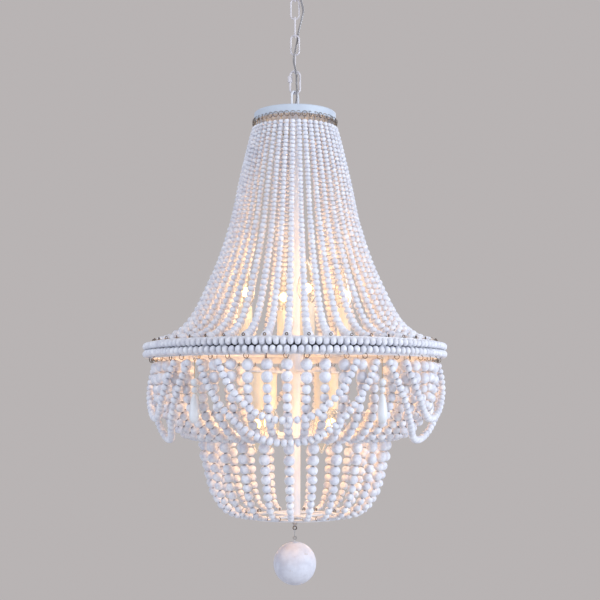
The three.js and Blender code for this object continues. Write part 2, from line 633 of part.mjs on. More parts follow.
// Finial nut with a stud into the column and an eye below, then the ball on its hook
{
  const topZ = -bottom.thickness / 2 - gap;
  const tipZ = topZ - finial.height - finial.taper;
  const body = turned([
    [0, tipZ], [finial.tip, tipZ], [finial.radius, topZ - finial.height], [finial.radius, topZ],
    [stem.radius, topZ], [stem.radius, topZ + finial.stud], [0, topZ + finial.stud],
  ], 16);
  const eyeZ = tipZ - finial.eyeRadius;
  const eye = new THREE.TorusGeometry(finial.eyeRadius, finial.eyeWire, 6, 14).rotateX(Math.PI / 2)
    .translate(0, 0, eyeZ);
  add('finial_eye', joined(body, eye), brass).position.z = bottomZ;

  const hookTopZ = bottomZ + eyeZ - finial.eyeRadius + finial.eyeWire + ballHook.wire / 2 + gap;
  const hookDrop = ballHook.length - ballHook.wire;
  const link = tube(new OvalWire(hookDrop, (ballHook.width - ballHook.wire) / 2, chain.seam),
    ballHook.wire / 2, 5, 14);
  const hookMesh = add('ball_hook', link, brass);
  hookMesh.position.z = hookTopZ;
  hookMesh.rotation.z = Math.PI / 2;

  const eyeTop = hookTopZ - hookDrop + ballHook.wire / 2 + ball.eyeWire + gap;
  const sphere = new THREE.SphereGeometry(ball.radius, 16, 10).rotateX(Math.PI / 2)
    .translate(0, 0, -2 * ball.eyeRadius - ball.stem - ball.radius);
  const post = rod(ball.eyeWire, ball.stem + 2 * overrun, 8)
    .translate(0, 0, -2 * ball.eyeRadius - ball.stem / 2);
  const ballEye = new THREE.TorusGeometry(ball.eyeRadius, ball.eyeWire, 6, 12).rotateX(Math.PI / 2)
    .translate(0, 0, -ball.eyeRadius);
  add('ball', joined(sphere, post, ballEye), beadWhite).position.z = eyeTop;
}

export default model;
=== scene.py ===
import math
import random

import bmesh
import bpy
from mathutils import Matrix, Vector


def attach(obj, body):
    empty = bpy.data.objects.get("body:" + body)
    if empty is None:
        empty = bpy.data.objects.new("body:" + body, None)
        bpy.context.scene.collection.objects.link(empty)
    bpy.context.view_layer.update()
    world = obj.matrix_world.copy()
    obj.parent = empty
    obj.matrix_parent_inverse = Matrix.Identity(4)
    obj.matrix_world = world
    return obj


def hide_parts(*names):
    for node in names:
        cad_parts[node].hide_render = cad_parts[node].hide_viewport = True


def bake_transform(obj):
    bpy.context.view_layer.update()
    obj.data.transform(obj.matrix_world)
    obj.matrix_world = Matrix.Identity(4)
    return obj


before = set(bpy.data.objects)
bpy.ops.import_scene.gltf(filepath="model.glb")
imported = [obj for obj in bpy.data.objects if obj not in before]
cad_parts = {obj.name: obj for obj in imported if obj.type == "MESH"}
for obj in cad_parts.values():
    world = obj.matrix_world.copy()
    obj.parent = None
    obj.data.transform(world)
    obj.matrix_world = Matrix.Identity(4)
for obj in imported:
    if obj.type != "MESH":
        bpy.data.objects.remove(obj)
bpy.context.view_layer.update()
random.seed(11)
mm = 0.001

# The camera stands below the main ring and looks up a little.
view = {"place": (0.0084, -1.877, -0.76475), "pitch": 4.885, "lens": 68.1, "far": 50}
bpy.ops.object.camera_add(location=view["place"], rotation=(math.radians(90 + view["pitch"]), 0, 0))
camera = bpy.context.object
camera.data.lens = view["lens"]
camera.data.clip_end = view["far"]
bpy.context.scene.camera = camera
bpy.context.scene.view_settings.view_transform = "Standard"
print("camera set")


def deselectAll():
    bpy.ops.object.select_all(action="DESELECT")


def around(radius, degrees, z):
    # millimetres and degrees from the front, to metres
    turn = math.radians(degrees)
    return Vector((radius * math.sin(turn), -radius * math.cos(turn), z)) * mm


def startEdit():
    bpy.ops.object.mode_set(mode="EDIT")
    bpy.ops.mesh.select_all(action="DESELECT")


def stopEdit():
    bpy.ops.object.mode_set(mode="OBJECT")


def selectWhere(piece, kind, test):
    bm = bmesh.from_edit_mesh(piece.data)
    bpy.ops.mesh.select_all(action="DESELECT")
    items = {"verts": bm.verts, "edges": bm.edges, "faces": bm.faces}[kind]
    for item in items:
        if test(item):
            item.select_set(True)
    bm.select_flush_mode()
    bmesh.update_edit_mesh(piece.data)


def tipPiece(piece, angles):
    # turns the piece about its own origin and writes the turn into its mesh
    piece.rotation_euler = angles
    bpy.ops.object.transform_apply(location=False, rotation=True, scale=False)


def settle(piece, place=(0, 0, 0), turn=0.0, tilt=(0, 0)):
    # the place goes into the mesh, as in the CAD nodes
    deselectAll()
    piece.select_set(True)
    bpy.context.view_layer.objects.active = piece
    spot = Matrix.Translation(Vector(place)) @ Matrix.Rotation(turn, 4, "Z")
    spot = spot @ Matrix.Rotation(tilt[0], 4, "X") @ Matrix.Rotation(tilt[1], 4, "Y")
    piece.matrix_world = spot @ piece.matrix_world
    bpy.ops.object.transform_apply(location=True, rotation=True, scale=True)
    return piece


def turnPiece(name, outline, steps=48):
    # a vertex is drawn along the outline of [radius, z] and spun around Z
    deselectAll()
    bpy.ops.mesh.primitive_circle_add(vertices=3, radius=mm)
    piece = bpy.context.object
    piece.name = name
    startEdit()
    selectWhere(piece, "verts", lambda vert: vert.index > 0)
    bpy.ops.mesh.delete(type="VERT")
    bpy.ops.mesh.select_all(action="SELECT")
    here = next(iter(bmesh.from_edit_mesh(piece.data).verts)).co.copy()
    for i, (radius, z) in enumerate(outline):
        there = Vector((radius, 0, z)) * mm
        if i == 0:
            bpy.ops.transform.translate(value=there - here)
        else:
            bpy.ops.mesh.extrude_region_move(TRANSFORM_OT_translate={"value": there - here})
        here = there
    bpy.ops.mesh.select_all(action="SELECT")
    bpy.ops.mesh.spin(steps=steps, angle=2 * math.pi, center=(0, 0, 0), axis=(0, 0, 1))
    bpy.ops.mesh.select_all(action="SELECT")
    bpy.ops.mesh.remove_doubles(threshold=0.00001)
    selectWhere(piece, "edges", lambda edge: edge.is_wire)
    bpy.ops.mesh.delete(type="EDGE")
    bpy.ops.mesh.select_all(action="SELECT")
    bpy.ops.mesh.normals_make_consistent(inside=False)
    stopEdit()
    return piece


def wirePiece(name, points, thickness, closed=False, roundness=2):
    curve = bpy.data.curves.new(name, "CURVE")
    curve.dimensions = "3D"
    curve.bevel_depth = thickness / 2 * mm
    curve.bevel_resolution = roundness
    curve.use_fill_caps = True
    spline = curve.splines.new("POLY")
    spline.points.add(len(points) - 1)
    for spot, point in zip(spline.points, points):
        spot.co = (*point, 1)
    spline.use_cyclic_u = closed
    piece = bpy.data.objects.new(name, curve)
    bpy.context.collection.objects.link(piece)
    deselectAll()
    piece.select_set(True)
    bpy.context.view_layer.objects.active = piece
    bpy.ops.object.convert(target="MESH")
    return bpy.context.object


def ovalLink(name, width, drop, thickness, around_=36, across=14):
    # a ring of wire whose lower half is pulled down, hung by the middle of its top wire
    deselectAll()
    bpy.ops.mesh.primitive_torus_add(
        major_radius=width / 2 * mm, minor_radius=thickness / 2 * mm,
        major_segments=around_, minor_segments=across, rotation=(0, 0, math.pi / around_),
    )
    piece = bpy.context.object
    piece.name = name
    bpy.ops.object.transform_apply(location=False, rotation=True, scale=False)
    tipPiece(piece, (math.pi / 2, 0, 0))
    startEdit()
    selectWhere(piece, "verts", lambda vert: vert.co.z < -0.000001)
    bpy.ops.transform.translate(value=(0, 0, -(drop - width) * mm))
    bpy.ops.mesh.select_all(action="SELECT")
    bpy.ops.transform.translate(value=(0, 0, -width / 2 * mm))
    stopEdit()
    return piece


def joinPieces(name, pieces):
    deselectAll()
    for piece in pieces:
        piece.select_set(True)
    bpy.context.view_layer.objects.active = pieces[0]
    if len(pieces) > 1:
        bpy.ops.object.join()
    joined = bpy.context.object
    joined.name = name
    joined.data.name = name
    return joined


def drilledBead(name, sides, rings, boreShare=0.16, faceShare=0.95, boreTone=1.0):
    # a bead one unit across, with its drilled hole along Z and slightly flat ends; painted shade darkens the
    # hole and the rims of its ends
    deselectAll()
    bpy.ops.mesh.primitive_uv_sphere_add(segments=sides, ring_count=rings, radius=0.5)
    bead = bpy.context.object
    bead.name = name
    startEdit()
    selectWhere(bead, "verts", lambda vert: abs(vert.co.z) > 0.4999)
    bpy.ops.mesh.delete(type="VERT")
    endHeight = 0.5 * math.cos(math.pi / rings)
    endRadius = 0.5 * math.sin(math.pi / rings)
    for side in (1, -1):
        selectWhere(bead, "verts", lambda vert: abs(vert.co.z - side * endHeight) < 0.001)
        share = boreShare / 2 / endRadius
        bpy.ops.transform.resize(value=(share, share, 1))
        bpy.ops.transform.translate(value=(0, 0, side * (faceShare / 2 - endHeight)))
    selectWhere(bead, "edges", lambda edge: edge.is_boundary)
    bpy.ops.mesh.bridge_edge_loops()
    bpy.ops.mesh.select_all(action="SELECT")
    bpy.ops.mesh.normals_make_consistent(inside=False)
    stopEdit()
    bpy.ops.object.shade_smooth_by_angle(angle=math.radians(50))
    bead.data.attributes.new("tone", "FLOAT", "POINT")
    # painted shade: 1 at the rim of the hole and fading over the ends, so the hole and the gap between beads
    # look shadowed
    rimShade = [boreTone * (math.hypot(*vert.co.xy) < boreShare / 2 + 0.001) for vert in bead.data.vertices]
    bead.data.attributes.new("bore", "FLOAT", "POINT").data.foreach_set("value", rimShade)
    bpy.context.collection.objects.unlink(bead)
    return bead


def smoothPath(points, perSpan=8):
    # a curve through the points, sampled evenly between each two
    ends = [points[0] * 2 - points[1], *points, points[-1] * 2 - points[-2]]
    path = []
    for i in range(1, len(ends) - 2):
        a, b, c, d = ends[i - 1:i + 3]
        for step in range(perSpan):
            t = step / perSpan
            path.append(0.5 * (2 * b + (c - a) * t + (2 * a - 5 * b + 4 * c - d) * t * t
                               + (3 * b - a - 3 * c + d) * t ** 3))
    return [*path, points[-1]]


def walk(path):
    # the length run to each point of the path
    run = [0.0]
    for a, b in zip(path, path[1:]):
        run.append(run[-1] + (b - a).length)
    return run


def atRun(path, run, length):
    i = 1
    while i < len(run) - 1 and run[i] < length:
        i += 1
    share = (length - run[i - 1]) / (run[i] - run[i - 1])
    return path[i - 1].lerp(path[i], share), (path[i] - path[i - 1]).normalized()


# How much the beads differ, in shares of their size, and how far the last one may stand over the end
beadSpread = {
    "shortest": 0.94, "longest": 1.06, "thinnest": 0.985, "thickest": 1.015, "turn": 6.28, "over": 0.35,
}


def beadsAlong(path, steps):
    # beads pushed against each other along the whole path: (centre, direction, size, length)
    run = walk(path)
    total = run[-1]
    beads = []
    used = 0.0
    while True:
        size, length = [step[1:] for step in steps if used / total >= step[0] - 0.0001][-1]
        if used + length * mm > total + beadSpread["over"] * length * mm:
            break
        length *= random.uniform(beadSpread["shortest"], beadSpread["longest"])
        beads.append((size * mm, length * mm))
        used += length * mm
    squeeze = total / used
    places = []
    used = 0.0
    for size, length in beads:
        length *= squeeze
        centre, direction = atRun(path, run, used + length / 2)
        places.append((centre, direction, size, length))
        used += length
    return places


def threadBeads(name, places, bead):
    # each bead is a copy of the model bead, set on the path with its own tone
    copies = []
    for centre, direction, size, length in places:
        mesh = bead.data.copy()
        along = direction.to_track_quat("Z", "Y").to_matrix().to_4x4()
        turn = along @ Matrix.Rotation(random.uniform(0, beadSpread["turn"]), 4, "Z")
        swell = size * random.uniform(beadSpread["thinnest"], beadSpread["thickest"])
        mesh.transform(Matrix.Translation(centre) @ turn @ Matrix.Diagonal((swell, swell, length, 1)))
        tone = random.random()
        mesh.attributes["tone"].data.foreach_set("value", [tone] * len(mesh.vertices))
        copy = bpy.data.objects.new(name, mesh)
        bpy.context.collection.objects.link(copy)
        copies.append(copy)
    return joinPieces(name, copies)


def nodeGroup(name, inputs, outputs):
    tree = bpy.data.node_groups.new(name, "ShaderNodeTree")
    for label, kind, value in inputs:
        socket = tree.interface.new_socket(name=label, in_out="INPUT", socket_type=kind)
        if value is not None:
            socket.default_value = value
    for label, kind in outputs:
        tree.interface.new_socket(name=label, in_out="OUTPUT", socket_type=kind)
    return tree, tree.nodes.new("NodeGroupInput"), tree.nodes.new("NodeGroupOutput")


def patchGroup():
    # soft patches from 0 to 1, larger or sharper as asked
    tree, inward, outward = nodeGroup(
        "patches",
        [("Vector", "NodeSocketVector", None), ("Scale", "NodeSocketFloat", 60.0),
         ("Shift", "NodeSocketFloat", 0.0), ("Low", "NodeSocketFloat", 0.4),
         ("High", "NodeSocketFloat", 0.7)],
        [("Mask", "NodeSocketFloat")],
    )
    noise = tree.nodes.new("ShaderNodeTexNoise")
    noise.noise_dimensions = "4D"
    noise.inputs["Detail"].default_value = 4
    noise.inputs["Roughness"].default_value = 0.6
    levels = tree.nodes.new("ShaderNodeMapRange")
    levels.interpolation_type = "SMOOTHSTEP"
    tree.links.new(inward.outputs["Vector"], noise.inputs["Vector"])
    tree.links.new(inward.outputs["Scale"], noise.inputs["Scale"])
    tree.links.new(inward.outputs["Shift"], noise.inputs["W"])
    tree.links.new(noise.outputs["Fac"], levels.inputs["Value"])
    tree.links.new(inward.outputs["Low"], levels.inputs["From Min"])
    tree.links.new(inward.outputs["High"], levels.inputs["From Max"])
    tree.links.new(levels.outputs["Result"], outward.inputs["Mask"])
    return tree


def grainGroup():
    # fine streaks that run along Z, as a height
    tree, inward, outward = nodeGroup(
        "grain",
        [("Vector", "NodeSocketVector", None), ("Scale", "NodeSocketFloat", 400.0),
         ("Stretch", "NodeSocketVector", (1.0, 1.0, 0.15))],
        [("Height", "NodeSocketFloat")],
    )
    stretch = tree.nodes.new("ShaderNodeVectorMath")
    stretch.operation = "MULTIPLY"
    noise = tree.nodes.new("ShaderNodeTexNoise")
    noise.inputs["Detail"].default_value = 3
    tree.links.new(inward.outputs["Vector"], stretch.inputs[0])
    tree.links.new(inward.outputs["Stretch"], stretch.inputs[1])
    tree.links.new(stretch.outputs["Vector"], noise.inputs["Vector"])
    tree.links.new(inward.outputs["Scale"], noise.inputs["Scale"])
    tree.links.new(noise.outputs["Fac"], outward.inputs["Height"])
    return tree


patches = patchGroup()
grain = grainGroup()


def seamMask(tree, vector, radius, z, half):
    # painted shade between the bead rows: 1 outside the radius and within the half height of z
    flat = tree.nodes.new("ShaderNodeVectorMath")
    flat.operation = "MULTIPLY"
    flat.inputs[1].default_value = (1, 1, 0)
    length = tree.nodes.new("ShaderNodeVectorMath")
    length.operation = "LENGTH"
    outside = tree.nodes.new("ShaderNodeMath")
    outside.operation = "GREATER_THAN"
    outside.inputs[1].default_value = radius * mm
    split = tree.nodes.new("ShaderNodeSeparateXYZ")
    level = tree.nodes.new("ShaderNodeMath")
    level.operation = "COMPARE"
    level.inputs[1].default_value = z * mm
    level.inputs[2].default_value = half * mm
    both = tree.nodes.new("ShaderNodeMath")
    both.operation = "MULTIPLY"
    tree.links.new(vector, flat.inputs[0])
    tree.links.new(flat.outputs["Vector"], length.inputs[0])
    tree.links.new(length.outputs["Value"], outside.inputs[0])
    tree.links.new(vector, split.inputs["Vector"])
    tree.links.new(split.outputs["Z"], level.inputs[0])
    tree.links.new(outside.outputs["Value"], both.inputs[0])
    tree.links.new(level.outputs["Value"], both.inputs[1])
    return both.outputs["Value"]


# What all finishes share: where broad patches begin and end, how worn spots fade, how beads differ
common = {
    "patchLow": 0.35, "patchHigh": 0.7, "wornShift": 5.0, "wornFade": 0.12, "beadShift": 9, "borePower": 2.2,
    "depth": 0.3, "coatRough": 0.15, "ior": 1.45,
}


def finish(name, settings):
    # one shader for all finishes: a base colour, patches of a second and worn spots of a third
    material = bpy.data.materials.new(name)
    material.use_nodes = True
    tree = material.node_tree
    shader = tree.nodes["Principled BSDF"]
    coordinates = tree.nodes.new("ShaderNodeTexCoord")
    vector = coordinates.outputs["Object"]

    def groupNode(group, **values):
        node = tree.nodes.new("ShaderNodeGroup")
        node.node_tree = group
        tree.links.new(vector, node.inputs["Vector"])
        for label, value in values.items():
            node.inputs[label].default_value = value
        return node

    def mixColour(factor, a, b):
        node = tree.nodes.new("ShaderNodeMix")
        node.data_type = "RGBA"
        tree.links.new(factor, node.inputs["Factor"])
        for socket, value in ((node.inputs["A"], a), (node.inputs["B"], b)):
            if isinstance(value, tuple):
                socket.default_value = (*value, 1)
            else:
                tree.links.new(value, socket)
        return node.outputs["Result"]

    broad = groupNode(patches, Scale=settings["patchScale"], Low=common["patchLow"],
                      High=common["patchHigh"])
    worn = groupNode(patches, Scale=settings["wornScale"], Shift=common["wornShift"],
                     Low=settings["wornFrom"], High=settings["wornFrom"] + common["wornFade"])
    if settings.get("beads"):
        tone = tree.nodes.new("ShaderNodeAttribute")
        tone.attribute_name = "tone"
        spread = tree.nodes.new("ShaderNodeMath")
        spread.operation = "MULTIPLY"
        spread.inputs[1].default_value = common["beadShift"]
        tree.links.new(tone.outputs["Fac"], spread.inputs[0])
        tree.links.new(spread.outputs["Value"], broad.inputs["Shift"])
        colour = mixColour(tone.outputs["Fac"], settings["base"], settings["light"])
        colour = mixColour(broad.outputs["Mask"], colour, settings["patch"])
    else:
        colour = mixColour(broad.outputs["Mask"], settings["base"], settings["patch"])
    colour = mixColour(worn.outputs["Mask"], colour, settings["worn"])
    if settings.get("beads"):
        # painted shade in each bead's hole and at its ends: the colour is pulled towards near black there
        bore = tree.nodes.new("ShaderNodeAttribute")
        bore.attribute_name = "bore"
        fade = tree.nodes.new("ShaderNodeMath")
        fade.operation = "POWER"
        fade.inputs[1].default_value = common["borePower"]
        tree.links.new(bore.outputs["Fac"], fade.inputs[0])
        colour = mixColour(fade.outputs["Value"], colour, settings["bore"])
    if settings.get("seam"):
        # painted shade on the band's outer side between the two bead rows
        colour = mixColour(seamMask(tree, vector, *settings["seam"]), colour, settings["shadeColour"])
    tree.links.new(colour, shader.inputs["Base Color"])
    rough = tree.nodes.new("ShaderNodeMapRange")
    rough.inputs["To Min"].default_value = settings["rough"][0]
    rough.inputs["To Max"].default_value = settings["rough"][1]
    tree.links.new(broad.outputs["Mask"], rough.inputs["Value"])
    tree.links.new(rough.outputs["Result"], shader.inputs["Roughness"])
    fine = groupNode(grain, Scale=settings["grainScale"], Stretch=settings.get("stretch", (1, 1, 1)))
    bump = tree.nodes.new("ShaderNodeBump")
    bump.inputs["Strength"].default_value = settings["bump"]
    bump.inputs["Distance"].default_value = settings.get("depth", common["depth"]) * mm
    tree.links.new(fine.outputs["Height"], bump.inputs["Height"])
    tree.links.new(bump.outputs["Normal"], shader.inputs["Normal"])
    shader.inputs["Metallic"].default_value = settings.get("metal", 0)
    shader.inputs["Coat Weight"].default_value = settings.get("coat", 0)
    shader.inputs["Coat Roughness"].default_value = common["coatRough"]
    shader.inputs["Transmission Weight"].default_value = settings.get("glass", 0)
    shader.inputs["IOR"].default_value = settings.get("ior", common["ior"])
    if settings.get("glow"):
        tree.links.new(colour, shader.inputs["Emission Color"])
        shader.inputs["Emission Strength"].default_value = settings["glow"]
    return material


# the near black of the beads is painted shade in their holes and at their ends
whitewash = finish("chalkyBeadWood", {
    "beads": True, "base": (0.72, 0.76, 0.84), "light": (0.84, 0.87, 0.93), "patch": (0.6, 0.62, 0.71),
    "worn": (0.46, 0.42, 0.42), "bore": (0.05, 0.04, 0.05), "patchScale": 150, "wornScale": 280,
    "wornFrom": 0.64, "rough": (0.55, 0.75), "grainScale": 900, "bump": 0.55, "depth": 0.25,
})
turnedWood = finish("chalkyTurnedWood", {
    "base": (0.68, 0.71, 0.81), "patch": (0.56, 0.58, 0.67), "worn": (0.49, 0.45, 0.43), "patchScale": 55,
    "wornScale": 110, "wornFrom": 0.62, "rough": (0.5, 0.75), "grainScale": 260, "stretch": (1, 1, 6),
    "bump": 0.6, "depth": 0.3,
})
chalkPaint = finish("chalkPaintOnSteel", {
    "base": (0.76, 0.79, 0.85), "patch": (0.7, 0.73, 0.8), "worn": (0.58, 0.56, 0.54), "patchScale": 45,
    "wornScale": 160, "wornFrom": 0.68, "rough": (0.45, 0.65), "grainScale": 1300, "bump": 0.35,
    "depth": 0.15,
})
chainPaint = finish("glossChainPaint", {
    "base": (0.67, 0.655, 0.7), "patch": (0.6, 0.585, 0.63), "worn": (0.5, 0.48, 0.48), "patchScale": 120,
    "wornScale": 300, "wornFrom": 0.7, "rough": (0.22, 0.38), "grainScale": 1500, "bump": 0.2, "depth": 0.1,
    "coat": 0.4,
})
# chalk paint on the band, with painted shade in a strip on its outer side between the bead rows
bandPaintAndShade = finish("bandChalkPaintAndShade", {
    "base": (0.76, 0.77, 0.81), "patch": (0.7, 0.71, 0.76), "worn": (0.56, 0.52, 0.5), "patchScale": 45,
    "wornScale": 160, "wornFrom": 0.66, "rough": (0.5, 0.7), "grainScale": 1300, "bump": 0.35, "depth": 0.15,
    "seam": (237.3, -689.5, 6), "shadeColour": (0.03, 0.035, 0.05),
})
darkBronze = finish("darkBronzeWire", {
    "base": (0.17, 0.13, 0.1), "patch": (0.09, 0.07, 0.06), "worn": (0.36, 0.28, 0.19), "patchScale": 260,
    "wornScale": 420, "wornFrom": 0.56, "rough": (0.36, 0.5), "grainScale": 1600, "bump": 0.2, "depth": 0.05,
    "metal": 1,
})
agedBrass = finish("agedBrass", {
    "base": (0.55, 0.42, 0.26), "patch": (0.42, 0.33, 0.22), "worn": (0.75, 0.62, 0.42), "patchScale": 90,
    "wornScale": 200, "wornFrom": 0.58, "rough": (0.28, 0.45), "grainScale": 1200, "bump": 0.2, "depth": 0.1,
    "metal": 1,
})
dullSteel = finish("dullSteel", {
    "base": (0.55, 0.54, 0.53), "patch": (0.42, 0.41, 0.41), "worn": (0.7, 0.66, 0.6), "patchScale": 150,
    "wornScale": 300, "wornFrom": 0.6, "rough": (0.3, 0.45), "grainScale": 1500, "bump": 0.2, "depth": 0.1,
    "metal": 1,
})
# a darker, bluer copy of the frame's chalk paint, as painted shade on the top plate
plateShadedPaint = finish("shadedChalkPaintOnPlate", {
    "base": (0.54, 0.62, 0.72), "patch": (0.5, 0.57, 0.67), "worn": (0.46, 0.47, 0.5), "patchScale": 45,
    "wornScale": 160, "wornFrom": 0.68, "rough": (0.45, 0.65), "grainScale": 1300, "bump": 0.35,
    "depth": 0.15,
})
dropWood = finish("polishedDropWood", {
    "base": (0.74, 0.78, 0.83), "patch": (0.66, 0.7, 0.75), "worn": (0.58, 0.56, 0.54), "patchScale": 60,
    "wornScale": 120, "wornFrom": 0.66, "rough": (0.28, 0.4), "grainScale": 300, "stretch": (1, 1, 6),
    "bump": 0.3, "depth": 0.1, "coat": 0.35,
})
clearCable = finish("clearCable", {
    "base": (0.24, 0.235, 0.245), "patch": (0.18, 0.175, 0.185), "worn": (0.5, 0.5, 0.5), "patchScale": 50,
    "wornScale": 90, "wornFrom": 0.62, "rough": (0.18, 0.26), "grainScale": 600, "bump": 0.04, "depth": 0.02,
    "coat": 1,
})
candleCream = finish("candleCream", {
    "base": (0.86, 0.8, 0.68), "patch": (0.8, 0.73, 0.6), "worn": (0.7, 0.62, 0.5), "patchScale": 60,
    "wornScale": 200, "wornFrom": 0.68, "rough": (0.4, 0.55), "grainScale": 700, "bump": 0.3, "depth": 0.2,
})
bulbGlass = finish("clearBulbGlass", {
    "base": (1.0, 0.97, 0.91), "patch": (1.0, 0.95, 0.87), "worn": (1.0, 0.98, 0.94), "patchScale": 40,
    "wornScale": 120, "wornFrom": 0.6, "rough": (0.01, 0.04), "grainScale": 300, "bump": 0.05, "depth": 0.05,
    "glass": 1, "glow": 0.02, "ior": 1.1,
})
filamentGlow = finish("litFilament", {
    "base": (1.0, 0.7, 0.36), "patch": (1.0, 0.62, 0.28), "worn": (1.0, 0.8, 0.5), "patchScale": 300,
    "wornScale": 600, "wornFrom": 0.6, "rough": (0.4, 0.5), "grainScale": 2000, "bump": 0.1, "depth": 0.05,
    "glow": 9,
})
print("finishes made")


def keep(piece, name, body, material, replaced=(), angle=40):
    piece.name = name
    piece.data.name = name
    piece.data.materials.clear()
    piece.data.materials.append(material)
    deselectAll()
    piece.select_set(True)
    bpy.context.view_layer.objects.active = piece
    bpy.ops.object.shade_smooth_by_angle(angle=math.radians(angle))
    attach(piece, body)
    if replaced:
        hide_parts(*replaced)
    return piece


smallBead = drilledBead("smallBead", 10, 7, boreShare=0.24, boreTone=0.45)
largeBead = drilledBead("largeBead", 14, 9, boreShare=0.22, boreTone=0.8)

# Curtains of strings between two wires. Shares are of the way out and down between the wires.
veil = {
    "count": 45, "turn": -2.7, "groups": 3, "top": (67.85, -302.85), "foot": (236.55, -674.9),
    "shares": [(0, .0335), (.042, .102), (.129, .27), (.218, .466), (.32, .62), (.443, .757), (.553, .861),
               (.662, .934), (.8, .981), (.9, 1.0), (.95, .998)],
    "beads": [(0.0, 8.8, 7.3), (0.42, 10.6, 8.8), (0.62, 12, 10), (0.82, 13.2, 11.4), (0.91, 14.6, 13),
              (0.955, 16, 15.4)],
}
skirt = {
    "count": 50, "turn": -2.8, "groups": 5, "top": (234.95, -704.1), "foot": (147.1, -829.25), "tuck": 12,
    "shares": [(.08, .03), (.09, .102), (.09, .24), (.1, .37), (.125, .49), (.19, .615), (.29, .74),
               (.45, .865), (.64, .965), (.86, 1.01), (.965, 1.0)],
    "beads": [(0.0, 18, 18.3), (0.17, 14, 14.2), (0.76, 12, 11.9)],
}
basket = {
    "count": 25, "turn": -3.3, "top": (144.5, -835.85), "foot": (82.2, -958.75),
    "shares": [(-.09, -.02), (-.08, .06), (-.045, .218), (.035, .365), (.122, .574), (.272, .752), (.491, .9),
               (.72, .955), (.97, .97)],
    "beads": [(0.0, 18, 17.9), (0.2, 16, 15), (0.41, 14, 13.6), (0.58, 12, 12), (0.74, 10, 10),
              (0.87, 8.3, 8)],
}
hanging = {"sway": 0.25, "wire": 0.8}


def stringPath(layer, degrees, tuck=0.0):
    (topRadius, topZ), (footRadius, footZ) = layer["top"], layer["foot"]
    points = []
    for outward, down in layer["shares"]:
        inward = tuck * max(0, math.sin(math.pi * min(1, down + 0.3)))
        radius = topRadius + (footRadius - topRadius) * outward - inward
        points.append(around(radius, degrees, topZ + (footZ - topZ) * down))
    return smoothPath(points)


def endWires(layer, degrees, path):
    top = around(layer["top"][0], degrees, layer["top"][1])
    foot = around(layer["foot"][0], degrees, layer["foot"][1])
    return [wirePiece("endWire", [top, path[0], path[1]], hanging["wire"], roundness=1),
            wirePiece("endWire", [path[-2], path[-1], foot], hanging["wire"], roundness=1)]


def hangStrings(layer, name, angles, replaced, bead, tuckOf=lambda i: 0.0):
    places = []
    wires = []
    for i, degrees in enumerate(angles):
        degrees += random.uniform(-hanging["sway"], hanging["sway"])
        path = stringPath(layer, degrees, tuckOf(i))
        places += beadsAlong(path, layer["beads"])
        wires += endWires(layer, degrees, path)
    keep(threadBeads(name, places, bead), name, "fixture", whitewash, [replaced])
    keep(joinPieces(name + "_wires", wires), name + "_wires", "fixture", agedBrass)


for group in range(veil["groups"]):
    each = veil["count"] // veil["groups"]
    angles = [veil["turn"] + 360 / veil["count"] * (group * each + i) for i in range(each)]
    hangStrings(veil, f"veil_{group + 1}", angles, f"veil_strands_{group + 1}", smallBead)
print("veil hung")

for group in range(skirt["groups"]):
    each = skirt["count"] // skirt["groups"]
    first = group * each + 1 - each / 2
    angles = [skirt["turn"] + 360 / skirt["count"] * (first + i) for i in range(each)]
    hangStrings(skirt, f"skirt_{group + 1}", angles, f"skirt_strands_{group + 1}", largeBead,
                lambda i: skirt["tuck"] if i == each - 1 else 0.0)
print("skirt hung")

angles = [basket["turn"] + 360 / basket["count"] * i for i in range(basket["count"])]
hangStrings(basket, "basket", angles, "basket_strands", largeBead)
print("basket hung")

# Two rows of beads lie against the band of the main ring.
bandRows = {"radius": 243.94, "count": 148, "size": 12, "rise": 6.1, "middle": -689.5, "lengthShare": 0.97}
for name, side in (("ring_beads_upper", 1), ("ring_beads_lower", -1)):
    places = []
    for i in range(bandRows["count"]):
        degrees = 360 / bandRows["count"] * (i + (0.5 if side > 0 else 0))
        centre = around(bandRows["radius"], degrees, bandRows["middle"] + side * bandRows["rise"])
        along = Vector((math.cos(math.radians(degrees)), math.sin(math.radians(degrees)), 0))
        length = 2 * math.pi * bandRows["radius"] / bandRows["count"] * mm
        places.append((centre, along, bandRows["size"] * mm, length * bandRows["lengthShare"]))
    keep(threadBeads(name, places, largeBead), "row_" + name, "fixture", whitewash,
         [name])
print("ring rows strung")

# Five sectors with a long and a short swag
swags = {
    "sectors": 5, "turn": -2.8, "radius": 238.85, "z": -703.8, "beads": [(0, 12, 10.5)], "start": 5.2,
    "out": 5, "long": (33.6, 123, 36), "short": (25.6, 89.5, 14), "stations": 10,
    "fallPower": 2.5, "outPower": 10, "inwardPower": 3,
}


def swagPath(centre, half, depth, inward):
    points = []
    for step in range(2 * swags["stations"] + 1):
        t = -1 + step / swags["stations"]
        fall = 1 - abs(t) ** swags["fallPower"]
        out = swags["out"] * (1 - abs(t) ** swags["outPower"]) - inward * fall ** swags["inwardPower"]
        points.append(around(swags["radius"] + out, centre + half * t,
                             swags["z"] - swags["start"] - depth * fall))
    return smoothPath(points, 3)


for sector in range(swags["sectors"]):
    centre = swags["turn"] + 360 / swags["sectors"] * sector
    places = []
    wires = []
    for kind in ("long", "short"):
        half, depth, inward = swags[kind]
        path = swagPath(centre, half, depth, inward)
        places += beadsAlong(path, swags["beads"])
        for side, end in ((-1, path[0]), (1, path[-1])):
            top = around(swags["radius"], centre + half * side, swags["z"])
            wires.append(wirePiece("endWire", [top, end], hanging["wire"], roundness=1))
    name = f"swag_string_{sector + 1}"
    keep(threadBeads(name, places, largeBead), name, "fixture", whitewash,
         [f"swag_{sector + 1}"])
    keep(joinPieces(name + "_wires", wires), name + "_wires", "fixture", agedBrass)
print("swags hung")


